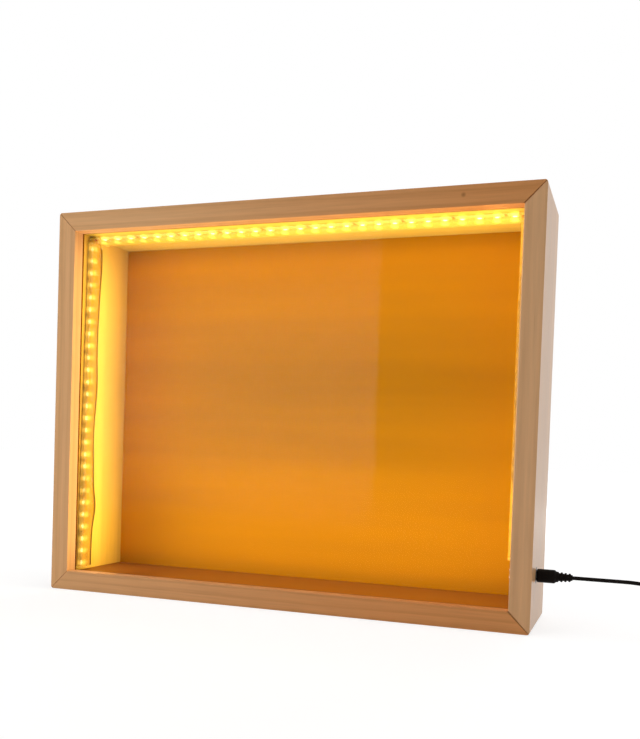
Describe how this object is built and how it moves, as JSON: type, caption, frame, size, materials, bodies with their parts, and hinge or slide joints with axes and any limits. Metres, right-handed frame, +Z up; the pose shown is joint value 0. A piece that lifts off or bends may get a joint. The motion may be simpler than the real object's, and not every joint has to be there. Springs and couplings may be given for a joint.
{
  "type": "led shadow box",
  "caption": "Mitred pine display box with a clear front pane, warm light strips along its inner walls, a back panel on turn buttons, a hanging ring and a plug-in power lead.",
  "frame": {"origin": "middle of the bottom face that the box stands on", "axes": "+X along the width to the side of the power socket, +Y from the front pane to the back panel, +Z up"},
  "size_m": [0.4339, 0.0708, 0.225],
  "materials": {
    "pine": "planed and waxed light pine",
    "spacer_wood": "plain pale pine boards",
    "panel_board": "smooth warm brown fibreboard",
    "clear_pane": "clear polished pane",
    "flex_board": "white flexible circuit board",
    "lamp": "warm white lamp faces",
    "clear_silicone": "clear soft silicone",
    "wire_red": "red wire sheath",
    "wire_black": "black wire sheath",
    "black_plastic": "moulded black plastic",
    "black_rubber": "soft satin black sheath",
    "tie": "black ribbed tie",
    "white_plastic": "moulded white plastic",
    "gold_contact": "gold plated contacts",
    "plated_metal": "bright nickel plate",
    "steel": "zinc plated steel"
  },
  "bodies": {
    "frame": {"top_rail": "pine", "bottom_rail": "pine", "left_stile": "pine", "right_stile": "pine", "v_nails": "steel", "front_pane": "clear_pane", "spacer_top": "spacer_wood", "spacer_bottom": "spacer_wood", "spacer_left": "spacer_wood", "spacer_right": "spacer_wood", "back_panel": "panel_board", "strip_top": "flex_board", "strip_left": "flex_board", "strip_right": "flex_board", "lamps_on_top": "lamp", "lamps_on_left": "lamp", "lamps_on_right": "lamp", "sleeve_top": "clear_silicone", "sleeve_left": "clear_silicone", "sleeve_right": "clear_silicone", "sleeve_plugs": "clear_silicone", "jumper_wires_red": "wire_red", "jumper_wires_black": "wire_black", "feed_wire_red": "wire_red", "feed_wire_black": "wire_black", "socket_body": "black_plastic", "socket_nut": "steel", "socket_pin": "plated_metal", "socket_tags": "plated_metal", "hanger_strap": "steel", "hanger_screws": "steel", "turn_screws": "steel"},
    "hanger_ring": {"hanger_ring": "steel"},
    "power_lead": {"plug_grip": "black_rubber", "plug_barrel": "plated_metal", "plug_tip": "black_plastic", "lead_cord": "black_rubber", "lead_coil": "black_rubber", "lead_tail": "black_rubber", "coil_tie": "tie", "supply_grip": "black_rubber", "supply_shell": "plated_metal", "supply_tongue": "white_plastic", "supply_contacts": "gold_contact"},
    "turn_button_a": {"turn_button_a": "steel"},
    "turn_button_b": {"turn_button_b": "steel"},
    "turn_button_c": {"turn_button_c": "steel"},
    "turn_button_d": {"turn_button_d": "steel"}
  },
  "joints": [
    {"name": "hanger_swing", "type": "hinge", "parent": "frame", "child": "hanger_ring", "pos_m": [0, 0.0334, 0.195], "axis": [1, 0, 0], "range_deg": [0, 180]},
    {"name": "plug_pull", "type": "slide", "parent": "frame", "child": "power_lead", "axis": [1, 0, 0], "range_m": [0, 0.012]},
    {"name": "button_a_turn", "type": "hinge", "parent": "frame", "child": "turn_button_a", "pos_m": [-0.092, 0.0315, 0.222], "axis": [0, 1, 0], "range_deg": [-90, 90]},
    {"name": "button_b_turn", "type": "hinge", "parent": "frame", "child": "turn_button_b", "pos_m": [0.092, 0.0315, 0.222], "axis": [0, 1, 0], "range_deg": [-90, 90]},
    {"name": "button_c_turn", "type": "hinge", "parent": "frame", "child": "turn_button_c", "pos_m": [-0.092, 0.0315, 0.003], "axis": [0, 1, 0], "range_deg": [-90, 90]},
    {"name": "button_d_turn", "type": "hinge", "parent": "frame", "child": "turn_button_d", "pos_m": [0.092, 0.0315, 0.003], "axis": [0, 1, 0], "range_deg": [-90, 90]}
  ]
}
